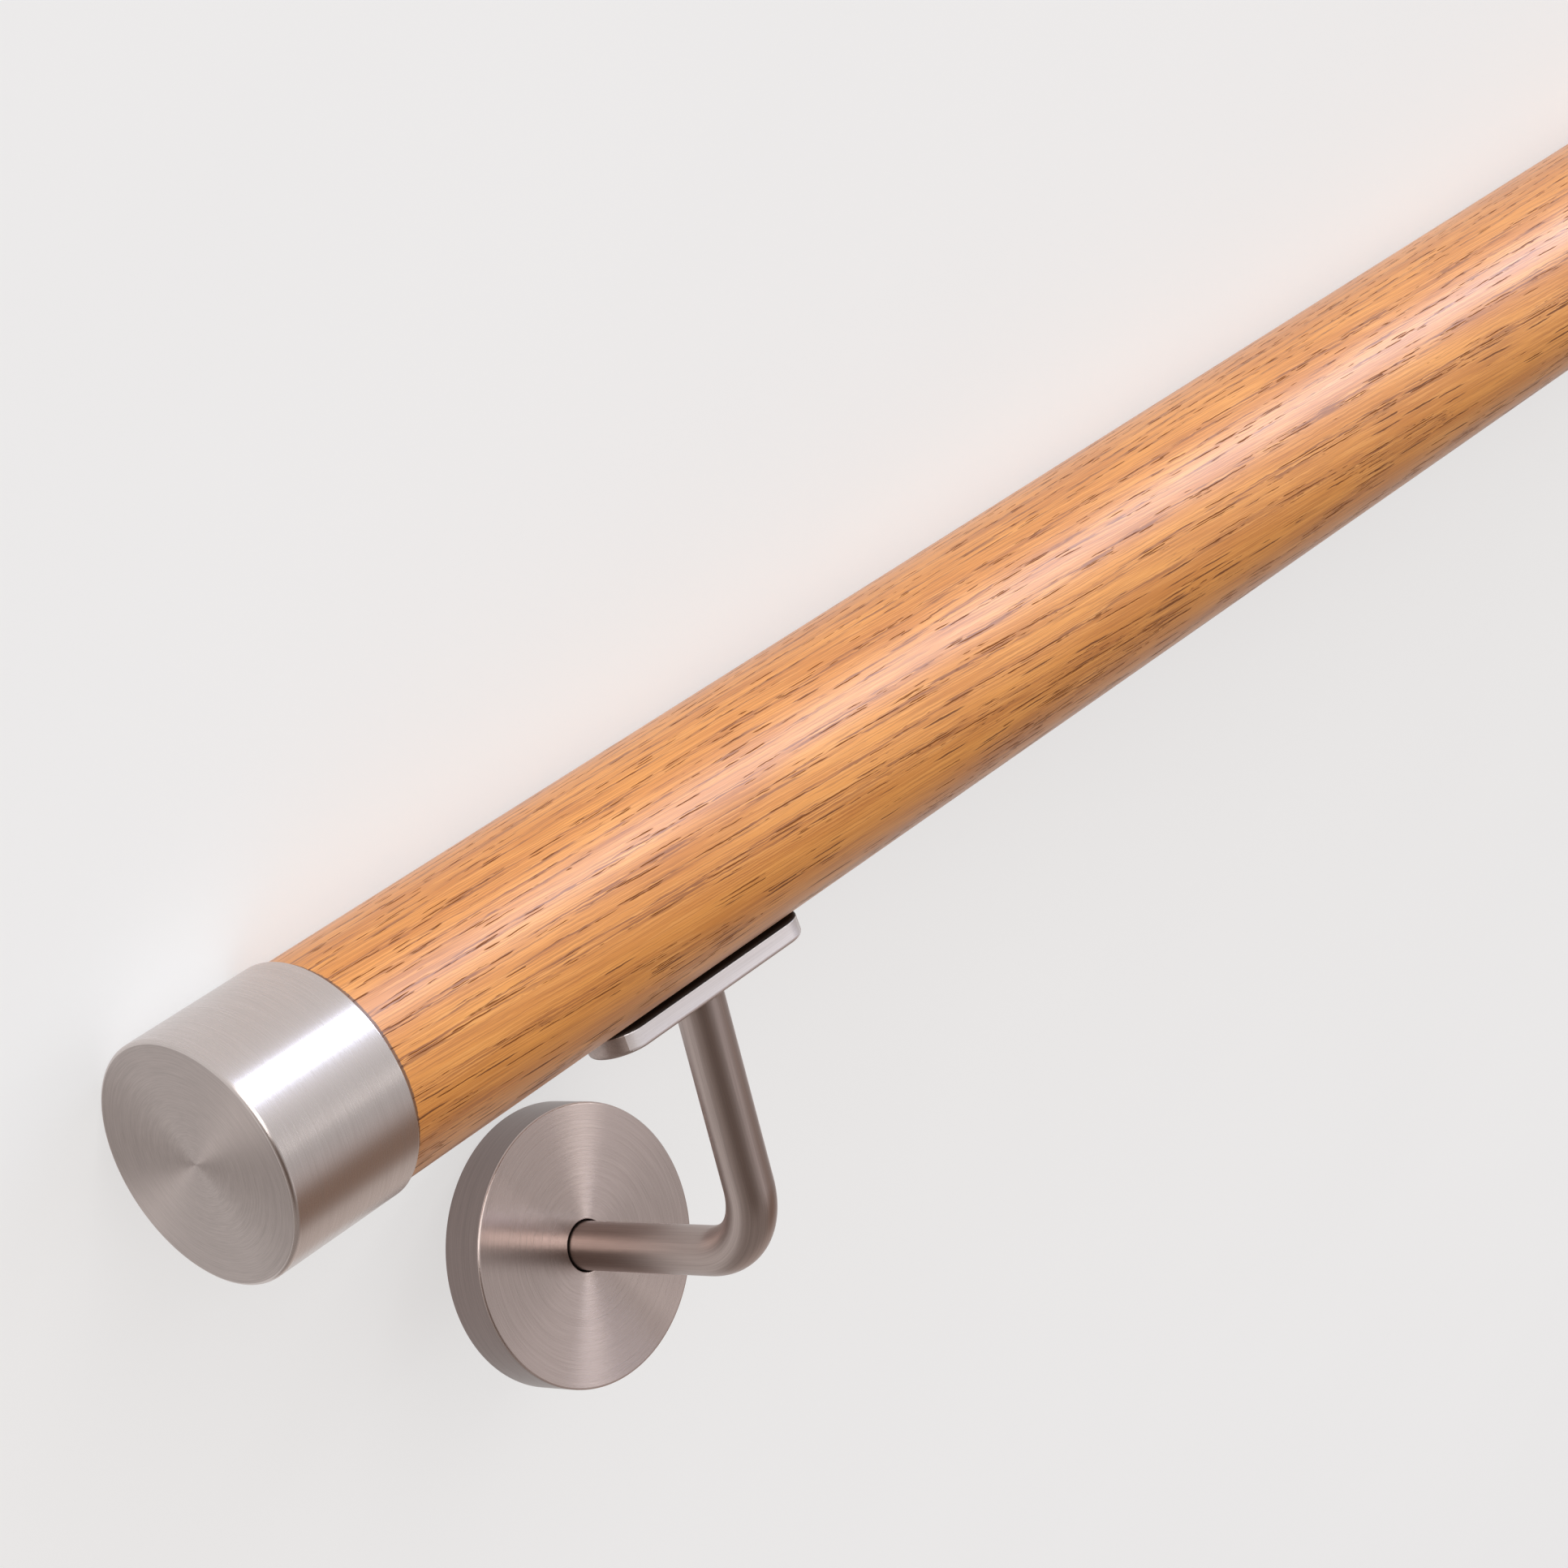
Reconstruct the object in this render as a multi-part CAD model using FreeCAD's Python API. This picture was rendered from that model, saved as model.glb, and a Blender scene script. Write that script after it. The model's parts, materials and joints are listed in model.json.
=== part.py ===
"""Stair handrail length: a round oak rail with steel end caps on two bent-rod wall brackets.

Sizes are millimetres. The pieces are modelled as if the wall were a level floor: X runs along
the rail, Z points out of the wall, and the rail lies on the -Y side of the wall rosettes.
The whole is then tipped over until it lies on its end caps and on the rims of its rosettes.
"""
import FreeCAD, Part
import math
import os
from FreeCAD import Vector

# Rail and end caps
rail_diameter = 45.0
rail_length = 1000.0
cap_wall = 0.9
cap_clearance = 0.1
cap_sleeve = 28.0
cap_end = 2.0
cap_edge_bevel = 0.8

# Where the brackets hold the rail
bracket_inset = 116.0
rail_reach = 69.0
rail_rise = 83.0

# Rosette and the wall flange inside it
rosette_diameter = 58.0
rosette_height = 10.0
rosette_wall = 1.5
flange_thickness = 5.0
flange_clearance = 0.15
wall_screw_hole = 5.5
wall_screw_circle = 38.0
wall_screw_count = 3

# Bent rod
rod_diameter = 10.0
rod_hole_clearance = 0.35
rod_knee_reach = 61.5
rod_bend_radius = 17.5

# Saddle under the rail
saddle_length = 56.0
saddle_width = 14.0
saddle_thickness = 4.5
saddle_edge_bevel = 0.7

# Wood screws through the saddle; they and their holes are round to within so many sides
fastener_sides = 16
screw_end_margin = 10.0
screw_length = 25.0
screw_shank = 4.5
screw_head = 8.5
screw_head_height = 2.0
screw_hole_clearance = 0.25
pilot_clearance = 0.05
pilot_spare_depth = 1.0

rail_radius = rail_diameter / 2
cap_bore = rail_radius + cap_clearance
cap_radius = cap_bore + cap_wall
rosette_radius = rosette_diameter / 2
rod_radius = rod_diameter / 2
rod_hole = rod_radius + rod_hole_clearance
flange_radius = rosette_radius - rosette_wall - flange_clearance
saddle_top = rail_rise - rail_radius
saddle_bottom = saddle_top - saddle_thickness

along_rail = Vector(1, 0, 0)
out_of_wall = Vector(0, 0, 1)
towards_rail = Vector(0, -1, 0)


def turned(outline):
    """Solid of revolution about Z from (radius, height) corners."""
    corners = [Vector(radius, 0, height) for radius, height in outline]
    face = Part.Face(Part.makePolygon(corners + corners[:1]))
    return face.revolve(Vector(0, 0, 0), out_of_wall, 360)


def few_sided(radius, height, place=Vector(0, 0, 0)):
    """Upright many-sided prism that stands in for a small cylinder."""
    angles = [2 * math.pi * index / fastener_sides for index in range(fastener_sides)]
    corners = [place + Vector(math.cos(angle), math.sin(angle), 0) * radius for angle in angles]
    return Part.Face(Part.makePolygon(corners + corners[:1])).extrude(out_of_wall * height)


def aimed(shape, direction, place):
    """Turn a piece made along +Z to point along direction, and move it to place."""
    turn = FreeCAD.Rotation(out_of_wall, direction)
    shape.Placement = FreeCAD.Placement(place, turn)
    return shape


def screw_places():
    """X positions of the screws in one saddle, from its middle."""
    reach = saddle_length / 2 - screw_end_margin
    return [-reach, reach]


def bracket_places():
    """X positions of the brackets along the rail, by name."""
    reach = rail_length / 2 - bracket_inset
    return {"lower": reach, "upper": -reach}


def oak_rail():
    """Round rail with blind pilot holes for the saddle screws along its underside."""
    rail = Part.makeCylinder(
        rail_radius, rail_length, Vector(-rail_length / 2, -rail_rise, rail_reach), along_rail)
    depth = screw_length - saddle_thickness + pilot_spare_depth
    for bracket_x in bracket_places().values():
        for screw_x in screw_places():
            pilot = few_sided(screw_shank / 2 + pilot_clearance, depth + rail_radius)
            start = Vector(bracket_x + screw_x, -saddle_top + rail_radius, rail_reach)
            rail = rail.cut(aimed(pilot, towards_rail, start))
    return rail


def end_cap(outward):
    """Cup over one end of the rail: a thin sleeve and a closed end with a bevelled edge."""
    mouth = -cap_end - cap_sleeve
    cap = turned([
        (0, 0), (cap_radius - cap_edge_bevel, 0), (cap_radius, -cap_edge_bevel), (cap_radius, mouth),
        (cap_bore, mouth), (cap_bore, -cap_end), (0, -cap_end)])
    face_x = outward * (rail_length / 2 + cap_end)
    return aimed(cap, along_rail * outward, Vector(face_x, -rail_rise, rail_reach))


def rosette():
    """Pressed cover: a shallow cup, open to the wall, with a hole for the rod."""
    inside = rosette_height - rosette_wall
    return turned([
        (rod_hole, rosette_height), (rosette_radius, rosette_height), (rosette_radius, 0),
        (rosette_radius - rosette_wall, 0), (rosette_radius - rosette_wall, inside), (rod_hole, inside)])


def wall_flange():
    """Disc that fills the rosette's mouth, drilled for screws into the wall."""
    flange = Part.makeCylinder(flange_radius, flange_thickness)
    for index in range(wall_screw_count):
        angle = math.radians(90 + index * 360 / wall_screw_count)
        place = Vector(math.cos(angle), math.sin(angle), 0) * (wall_screw_circle / 2)
        flange = flange.cut(Part.makeCylinder(wall_screw_hole / 2, flange_thickness, place))
    return flange


def support_rod():
    """Round rod from the flange, bent up to the middle of the saddle's underside."""
    foot = Vector(0, 0, flange_thickness)
    knee = Vector(0, 0, rod_knee_reach)
    head = Vector(0, -saddle_bottom, rail_reach)
    leg = (head - knee).normalize()
    turn = leg.getAngle(out_of_wall)
    tangent = rod_bend_radius * math.tan(turn / 2)
    bend_start = knee - out_of_wall * tangent
    bend_end = knee + leg * tangent
    bisector = (leg - out_of_wall).normalize()
    centre = knee + bisector * (rod_bend_radius / math.cos(turn / 2))
    bend_middle = centre - bisector * rod_bend_radius
    past_head = head + leg * rod_diameter
    path = Part.Wire([
        Part.LineSegment(foot, bend_start).toShape(),
        Part.Arc(bend_start, bend_middle, bend_end).toShape(),
        Part.LineSegment(bend_end, past_head).toShape()])
    section = Part.Wire(Part.makeCircle(rod_radius, foot, out_of_wall))
    rod = path.makePipeShell([section], True, False)
    waste = 4 * rod_diameter
    above_saddle = Part.makeBox(
        waste, waste, waste, Vector(-waste / 2, -saddle_bottom - waste, rail_reach - waste / 2))
    return rod.cut(above_saddle)


def saddle_plate():
    """Flat bar with round ends that lies along the rail, counterbored from below for its screws."""
    half_width = saddle_width / 2
    half_run = saddle_length / 2 - half_width
    corners = [Vector(-half_run, -half_width, 0), Vector(half_run, -half_width, 0),
               Vector(half_run, half_width, 0), Vector(-half_run, half_width, 0)]
    outline = Part.Wire([
        Part.LineSegment(corners[0], corners[1]).toShape(),
        Part.Arc(corners[1], Vector(half_run + half_width, 0, 0), corners[2]).toShape(),
        Part.LineSegment(corners[2], corners[3]).toShape(),
        Part.Arc(corners[3], Vector(-half_run - half_width, 0, 0), corners[0]).toShape()])
    plate = Part.Face(outline).extrude(Vector(0, 0, saddle_thickness))
    lower_edges = [edge for edge in plate.Edges if edge.BoundBox.ZMax < 1e-6]
    plate = plate.makeChamfer(saddle_edge_bevel, lower_edges)
    hole = screw_shank / 2 + screw_hole_clearance
    recess = screw_head / 2 + screw_hole_clearance
    for screw_x in screw_places():
        place = Vector(screw_x, 0, 0)
        plate = plate.cut(few_sided(hole, saddle_thickness, place))
        plate = plate.cut(few_sided(recess, screw_head_height, place))
    return aimed(plate, towards_rail, Vector(0, -saddle_bottom, rail_reach))


def saddle_screw(screw_x):
    """Flat-head wood screw, sunk flush with the saddle's underside."""
    head = few_sided(screw_head / 2, screw_head_height)
    shank = few_sided(screw_shank / 2, screw_length)
    return aimed(head.fuse(shank).removeSplitter(), towards_rail, Vector(screw_x, -saddle_bottom, rail_reach))


def laid_down():
    """Placement that tips the part over onto its end caps and the rims of its rosettes."""
    across = rail_rise - rosette_radius
    slope = math.atan2(rail_reach, across)
    tilt = slope - math.asin(cap_radius / math.hypot(across, rail_reach))
    back = rosette_radius * math.cos(tilt)
    front = -rail_rise * math.cos(tilt) - rail_reach * math.sin(tilt) - cap_radius
    place = Vector(0, -(back + front) / 2, rosette_radius * math.sin(tilt))
    return FreeCAD.Placement(place, FreeCAD.Rotation(along_rail, math.degrees(tilt)))


def pieces():
    """Every piece of the handrail by name, as fixed to the wall."""
    named = {
        "oak_rail": oak_rail(),
        "lower_end_cap": end_cap(1),
        "upper_end_cap": end_cap(-1)}
    for bracket, bracket_x in bracket_places().items():
        parts = {
            "rosette": rosette(),
            "wall_flange": wall_flange(),
            "support_rod": support_rod(),
            "saddle_plate": saddle_plate()}
        for letter, screw_x in zip("ab", screw_places()):
            parts["saddle_screw_" + letter] = saddle_screw(screw_x)
        for name, shape in parts.items():
            named[bracket + "_" + name] = shape.translated(Vector(bracket_x, 0, 0))
    return named


os.makedirs("parts", exist_ok=True)
resting = laid_down()
for node, piece in pieces().items():
    piece.Placement = resting.multiply(piece.Placement)
    piece.exportStep("parts/" + node + ".step")
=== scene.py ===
"""Looks of the stair handrail length: lacquered oak, brushed steel caps and bent-rod wall brackets.

Lengths are metres. Pieces are built in a bracket's own axes, x along the rail, y down the wall and
z out of the wall from the middle of the rosette's back, and then put where the frame holds that bracket.
"""
import json
import math

import bmesh
import bpy
from mathutils import Matrix, Vector


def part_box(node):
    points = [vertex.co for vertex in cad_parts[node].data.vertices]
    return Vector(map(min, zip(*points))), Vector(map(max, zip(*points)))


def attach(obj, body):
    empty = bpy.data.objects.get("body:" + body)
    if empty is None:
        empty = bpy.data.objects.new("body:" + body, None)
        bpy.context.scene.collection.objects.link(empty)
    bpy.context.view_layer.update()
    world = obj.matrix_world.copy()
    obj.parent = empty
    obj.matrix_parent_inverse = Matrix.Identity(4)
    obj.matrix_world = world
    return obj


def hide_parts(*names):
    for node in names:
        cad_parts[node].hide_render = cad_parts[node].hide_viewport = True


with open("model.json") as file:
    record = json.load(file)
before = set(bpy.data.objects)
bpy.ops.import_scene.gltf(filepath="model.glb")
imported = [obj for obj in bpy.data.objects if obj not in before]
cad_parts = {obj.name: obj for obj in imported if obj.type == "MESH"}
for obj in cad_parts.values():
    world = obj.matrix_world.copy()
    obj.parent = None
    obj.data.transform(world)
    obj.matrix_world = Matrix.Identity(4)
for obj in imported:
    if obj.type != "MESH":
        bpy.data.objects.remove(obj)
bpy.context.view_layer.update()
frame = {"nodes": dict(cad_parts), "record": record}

MM = 0.001

# Sizes shared with the solids
RAIL_RADIUS = 22.5 * MM
RAIL_RISE = 83.0 * MM
RAIL_REACH = 69.0 * MM
CAP_BORE = 22.6 * MM
CAP_RADIUS = 23.5 * MM
CAP_END = 2.0 * MM
CAP_SLEEVE = 28.0 * MM
ROSETTE_RADIUS = 29.0 * MM
ROSETTE_HEIGHT = 10.0 * MM
ROSETTE_WALL = 1.5 * MM
ROD_RADIUS = 5.0 * MM
ROD_HOLE = 5.35 * MM
ROD_KNEE = 61.5 * MM
ROD_BEND = 17.5 * MM
FLANGE_FRONT = 5.0 * MM
SADDLE_LENGTH = 56.0 * MM
SADDLE_WIDTH = 14.0 * MM
SADDLE_THICKNESS = 4.5 * MM
SADDLE_TOP = RAIL_RISE - RAIL_RADIUS
SADDLE_BOTTOM = SADDLE_TOP - SADDLE_THICKNESS
SCREW_PLACES = {"a": -18.0 * MM, "b": 18.0 * MM}
SCREW_HEAD = 4.25 * MM
SCREW_HEAD_HEIGHT = 2.0 * MM
SCREW_SHANK = 2.25 * MM
SCREW_LENGTH = 25.0 * MM
SCREW_CLEARANCE = 0.25 * MM

# Edges and small forms that the solids leave plain
CAP_EDGE = 0.9 * MM
CAP_MOUTH_EDGE = 0.35 * MM
ROSETTE_EDGE = 0.5 * MM
HOLE_EDGE = 0.2 * MM
SADDLE_TOP_EDGE = 0.8 * MM
SADDLE_BOTTOM_EDGE = 0.85 * MM
HIDDEN_EDGE = 0.1 * MM
SCREW_EDGE = 0.3 * MM
SCREW_SINK = 0.1 * MM
SOCKET_RADIUS = 1.9 * MM
SOCKET_DEPTH = 1.3 * MM
SOCKET_LOBES = 6
SOCKET_LOBE_SHARE = 0.14

# Weld bead: its size, how far it sinks into the corner, and its fine and slow ripples round the rod
WELD_SIZE = 0.9 * MM
WELD_SINK = 0.4
WELD_RIPPLES = 26
WELD_RIPPLE_SHARE = 0.12
WELD_WAVES = 5
WELD_WAVE_SHARE = 0.10
WELD_WAVE_START = 1

# How finely round forms are divided, and from which angle an edge is sharp
TURNS = 256
ROD_TURNS = 96
SCREW_TURNS = 96
RAIL_RINGS = 60
FACE_RINGS = 20
ARC_STEPS = 6
BEND_STEPS = 32
SADDLE_END_STEPS = 40
WELD_TURNS = 160
WELD_STEPS = 10
EDGE_HOLD = 0.03 * MM
SMALLEST = 1e-7
SHARP_ANGLE = math.radians(40)
SCREW_SHARP_ANGLE = math.radians(35)

# How squarely a face looks a way before it takes that side's look: the cap's face its own, the rosette's rim
# painted shade, the saddle's near edge a painted highlight and its top painted shade
CAP_FACE_FACING = 0.97
ROSETTE_FACE_FACING = 0.3
SADDLE_EDGE_FACING = 0.8
SADDLE_TOP_FACING = 0.3

# Directions in a bracket's own axes
ALONG_RAIL = Vector((1, 0, 0))
UP_WALL = Vector((0, -1, 0))
OUT_OF_WALL = Vector((0, 0, 1))


def colour(red, green, blue):
    """Opaque linear colour."""
    return (red, green, blue, 1.0)


# Oak colours
OAK_LIGHT = colour(0.70, 0.28, 0.046)
OAK_DEEP = colour(0.56, 0.198, 0.026)
OAK_EARLY = colour(0.44, 0.15, 0.026)
OAK_FIBRE = colour(0.36, 0.11, 0.016)
OAK_PALE = colour(0.86, 0.41, 0.11)
OAK_STREAK = colour(0.28, 0.085, 0.012)
OAK_RAY = colour(0.13, 0.036, 0.006)
OAK_PORE = colour(0.165, 0.046, 0.006)
# Painted shade of the gap at each cap's mouth
OAK_SEAM_SHADE = colour(0.07, 0.025, 0.01)

# Oak grain in millimetres: x along the rail, y and z across it; on the unrolled skin y runs round the rail
RAIL_FRONT = (0.0, -0.8385, 0.5449)
RAIL_SIDE = (0.0, 0.5449, 0.8385)
ACROSS_RAIL = (0.0, 1.0, 1.0)
GRAIN_SLOPE = (0.0, 0.045, 0.027)
SWAY_SIZE = (60.0, 12.0, 12.0)
SWAY_DETAIL = 3.0
SWAY_REACH = 1.5
JITTER_SIZE = (3.0, 0.8, 0.8)
JITTER_DETAIL = 1.0
JITTER_REACH = 0.3
PITH_AWAY = 60.0
PITH_ANGLE = math.radians(-68.6)
PITH = (0.0, PITH_AWAY * math.cos(PITH_ANGLE), PITH_AWAY * math.sin(PITH_ANGLE))
RING_WIDTH = 2.3
RING_UNEVEN_SIZE = 5.0
RING_UNEVEN_DETAIL = 1.0
RING_UNEVEN = 1.2
PORE_SPACING = (20.0, 0.4, 0.4)
PORE_HALF = (13.0, 0.165, 0.165)
RAY_SPACING = (16.0, 1.5, 1.5)
RAY_HALF = (9.0, 0.18, 1.2)
PATCH_SIZE = (60.0, 4.0, 4.0)
FIBRE_SIZE = (26.0, 0.24, 1.0)
STREAK_SIZE = (17.0, 0.4, 1.0)
# Painted seam shade at the caps' mouths: its noise size and raggedness
SEAM_SHADE_SIZE = (2.0, 0.45, 0.45)
SEAM_SHADE_RAGGED = 0.5

# Smooth steps in the oak: where each starts and ends, and what it gives there
EARLY_START = (0.0, 0.1, 0.0, 1.0)
EARLY_END = (0.22, 0.5, 1.0, 0.0)
MARK_SIZE = (0.0, 1.0, 0.55, 1.0)
MARK_EDGE = (0.65, 1.0, 1.0, 0.0)
PORE_CHANCE = (0.0, 1.0, 0.06, 0.85)
RAY_CHANCE = (0.88, 0.99, 0.0, 0.5)
PATCHES = (0.3, 0.7, 0.0, 1.0)
FIBRE_SHARE = (0.0, 1.0, 0.8, 1.1)
DARK_FIBRES = (0.54, 0.61, 0.0, 0.58)
PALE_FIBRES = (0.36, 0.45, 0.4, 0.0)
STREAKS = (0.55, 0.59, 0.0, 1.0)
STREAKS_IN_EARLY = (0.0, 1.0, 0.15, 0.95)
STREAKS_IN_FLAT = (0.9, 1.0, 1.0, 0.4)
SEAM_SHADE_EDGE = (0.75, 1.0, 0.85, 0.0)
OAK_ROUGHNESS = (0.0, 1.0, 0.42, 0.7)
COAT_WEIGHT = (0.0, 1.0, 1.0, 0.05)

# How strongly each mark colours the oak or cuts into it
EARLY_STRENGTH = 0.35
RAY_STRENGTH = 0.9
PORE_STRENGTH = 0.92
RAY_DEPTH = 0.6
FIBRE_DEPTH = 0.15
OAK_RELIEF = (0.6, 0.15 * MM)
OAK_SPECULAR = 0.15
COAT_ROUGHNESS = 0.46
COAT_IOR = 1.65

# Steel colours, in the scratches and between them
PALE_STEEL = colour(0.57, 0.51, 0.485), colour(0.66, 0.595, 0.57)
MID_STEEL = colour(0.44, 0.385, 0.365), colour(0.55, 0.48, 0.455)
# Painted shade: a darker copy of the steel for the rosettes' rims
RIM_SHADE_STEEL = colour(0.22, 0.176, 0.164), colour(0.29, 0.232, 0.216)
GREY_STEEL = colour(0.39, 0.32, 0.295), colour(0.49, 0.405, 0.375)
FACE_STEEL = colour(0.53, 0.44, 0.41), colour(0.66, 0.555, 0.52)
# Painted highlight: a brighter copy of the grey steel for the saddle's near edge
PAINTED_HIGHLIGHT_STEEL = colour(0.80, 0.75, 0.75), colour(0.92, 0.87, 0.87)
# Painted shade: near-black steel for the saddle's top, in the gap under the rail
GAP_SHADE_STEEL = colour(0.04, 0.032, 0.028), colour(0.07, 0.056, 0.05)

# Noise: its middle, and the range that most of it lies in
NOISE_MIDDLE = (0.5, 0.5, 0.5)
NOISE_RANGE = (0.3, 0.7)

# Steel surface: a relief is a bump's strength and depth, and lines round a turned piece lie on one circle
LINE_DETAIL = 4.0
LINE_ROUGHNESS = 0.65
LINE_SHARE = 0.7
LINE_RELIEF = (0.08, 0.02 * MM)
LINE_CIRCLE = 10 * MM
BAND_WIDENING = 3
BAND_SHARE = 0.3
QUARTER_TURN = 0.25
STRAIGHT_LINES = (0.2 * MM, 0.2 * MM, 20 * MM)
MOTTLE_SCALE = 900.0
MOTTLE_DETAIL = 4.0
MOTTLE_ROUGHNESS = (0.3, 0.45)
MOTTLE_RELIEF = (0.15, 0.02 * MM)

# Floor
FLOOR_REACH = 30.0
FLOOR_CORNERS = 64
FLOOR_TONES = colour(0.9, 0.895, 0.89), colour(0.925, 0.92, 0.915)
FLOOR_SCALE = 6.0
FLOOR_DETAIL = 5.0
FLOOR_ROUGHNESS = 0.85
FLOOR_SPECULAR = 0.2
FLOOR_LIFT = 0.58
WHITE = colour(1.0, 1.0, 1.0)

# The room round the part, and its patches: direction, core and edge in degrees from there, and colour
ROOM_LIGHT = colour(0.36, 0.32, 0.3)
ROOM_PATCHES = [
    ((-0.45, -0.85, 0.25), 15, 88, colour(0.74, 0.74, 0.75)),
    ((-0.5, 0.85, 0.1), 10, 42, colour(0.64, 0.56, 0.52)),
    ((-0.656, 0.36, 0.66), 6, 26, colour(0.26, 0.16, 0.11)),
    ((0.6, -0.15, 0.78), 14, 40, colour(0.13, 0.09, 0.07)),
    ((-0.33, 0.0, 0.94), 4, 15, colour(0.85, 0.81, 0.82))]
LIT_PLACE = Vector((0.15, 0, 0))
LAMP_TINT = (1.0, 0.99, 0.98)
COOL_TINT = (0.79, 0.93, 1.22)

# The photograph's camera, seen from the lower bracket: along the rail away from its lower end,
# up the wall and out of the wall
CAMERA_PLACE = Vector((-502.8, 300.5, 652.3)) * MM
CAMERA_FORWARD = Vector((0.6563, -0.2652, -0.7063))
CAMERA_DOWN = Vector((-0.4179, -0.9073, -0.0477))
CAMERA_LENS = 98.21
SENSOR_WIDTH = 36.0
CLIP_START = 0.01


# Frame


def mount(name):
    """One of the frame's mounts, by name."""
    return next(entry for entry in frame["record"]["mounts"] if entry["name"] == name)


def bracket_axes(name):
    """Matrix from a bracket's own axes to the frame."""
    wall = mount(name + "_wall_face")
    out = -Vector(wall["axis"]).normalized()
    down = out.cross(ALONG_RAIL)
    axes = Matrix((ALONG_RAIL, down, out)).transposed().to_4x4()
    return Matrix.Translation(Vector(wall["pos_m"])) @ axes


def aimed(direction):
    """Turn from a piece's own z to a direction."""
    return OUT_OF_WALL.rotation_difference(direction).to_matrix().to_4x4()


BRACKETS = {name: bracket_axes(name) for name in ("lower", "upper")}
RAIL_AXIS = BRACKETS["lower"] @ Vector((0, -RAIL_RISE, RAIL_REACH))
RAIL_AXIS.x = 0
rail_low, rail_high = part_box("oak_rail")
RAIL_HALF = (rail_high.x - rail_low.x) / 2


# Mesh helpers


def corner_arc(here, back, ahead, radius):
    """Arc that rounds a corner between the ways back and ahead, with a point close to each of its ends."""
    half = back.angle(ahead) / 2
    tangent = radius / math.tan(half)
    centre = here + (back + ahead).normalized() * (radius / math.sin(half))
    first = here + back * tangent - centre
    last = here + ahead * tangent - centre
    turn = first.angle_signed(last)
    arc = [centre + Matrix.Rotation(-turn * step / ARC_STEPS, 2) @ first for step in range(ARC_STEPS + 1)]
    return [here + back * (tangent + EDGE_HOLD)] + arc + [here + ahead * (tangent + EDGE_HOLD)]


def rounded(corners, radii):
    """Outline with its corners turned into arcs; a corner of radius 0 stays sharp."""
    points = []
    for index, (corner, radius) in enumerate(zip(corners, radii)):
        here = Vector(corner)
        if radius == 0:
            points.append(here)
            continue
        back = (Vector(corners[index - 1]) - here).normalized()
        ahead = (Vector(corners[(index + 1) % len(corners)]) - here).normalized()
        points += corner_arc(here, back, ahead, radius)
    return points


def ring_faces(one, two):
    """Faces between two rings of point numbers; a ring of one point is a tip."""
    faces = []
    turns = max(len(one), len(two))
    for spot in range(turns):
        ahead = (spot + 1) % turns
        if len(one) == 1:
            faces.append((one[0], two[ahead], two[spot]))
        elif len(two) == 1:
            faces.append((one[spot], one[ahead], two[0]))
        else:
            faces.append((one[spot], one[ahead], two[ahead], two[spot]))
    return faces


def skin_faces(rings):
    """Faces along a row of rings."""
    return [face for one, two in zip(rings, rings[1:]) for face in ring_faces(one, two)]


def even_rings(count, turns):
    """Point numbers of like rings that follow one another."""
    return [list(range(ring * turns, (ring + 1) * turns)) for ring in range(count)]


def bar_faces(rings):
    """Faces of a bar along a row of rings, with both of its ends."""
    return skin_faces(rings) + [tuple(reversed(rings[0])), tuple(rings[-1])]


def mesh_object(name, vertices, faces, matrix):
    """New smooth object in the frame from points in a bracket's or the rail's own axes."""
    mesh = bpy.data.meshes.new(name)
    mesh.from_pydata([matrix @ Vector(point) for point in vertices], [], faces)
    mesh.validate()
    build = bmesh.new()
    build.from_mesh(mesh)
    bmesh.ops.recalc_face_normals(build, faces=build.faces)
    build.to_mesh(mesh)
    build.free()
    mesh.shade_smooth()
    piece = bpy.data.objects.new(name, mesh)
    bpy.context.scene.collection.objects.link(piece)
    return piece


def set_brushing(piece, matrix, brush, lay):
    """Store each point's place across and along the brushed lines, and the lines' direction."""
    turn = matrix.to_3x3()
    across = piece.data.attributes.new("brush", "FLOAT_VECTOR", "POINT")
    along = piece.data.attributes.new("lay", "FLOAT_VECTOR", "POINT")
    for index, value in enumerate(brush):
        across.data[index].vector = value
    for index, value in enumerate(lay):
        along.data[index].vector = turn @ Vector(value)


def lathe(name, outline, matrix, turns=TURNS, waves=None):
    """Turned piece about its own z from (radius, height) points, brushed round its axis.

    An outline that starts on the axis ends there too, and any other closes on itself. waves holds each
    point's share of lobed waviness.
    """
    vertices, rings, brush, lay = [], [], [], []
    travelled = 0
    before = outline[0]
    for index, (radius, height) in enumerate(outline):
        travelled += math.hypot(radius - before[0], height - before[1])
        before = (radius, height)
        spots = 1 if radius < SMALLEST else turns
        rings.append(list(range(len(vertices), len(vertices) + spots)))
        wave = waves[index] if waves else 0
        for spot in range(spots):
            angle = math.tau * spot / turns
            wide = radius * (1 + wave * math.cos(SOCKET_LOBES * angle))
            vertices.append((wide * math.cos(angle), wide * math.sin(angle), height))
            brush.append((travelled, LINE_CIRCLE * math.cos(angle), LINE_CIRCLE * math.sin(angle)))
            lay.append((-math.sin(angle), math.cos(angle), 0))
    if len(rings[0]) > 1:
        rings.append(rings[0])
    piece = mesh_object(name, vertices, skin_faces(rings), matrix)
    set_brushing(piece, matrix, brush, lay)
    return piece


def finish_piece(piece, slot, material, *nodes):
    """Give a piece its look and its place in the frame."""
    piece.data.materials.clear()
    piece.data.materials.append(material)
    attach(piece, "root")
    if nodes:
        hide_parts(*nodes)


def face_look(piece, faces, material):
    """Give some of a finished piece's faces a look of their own."""
    piece.data.materials.append(material)
    index = len(piece.data.materials) - 1
    for face in piece.data.polygons:
        if faces(face):
            face.material_index = index


# Pieces


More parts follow.
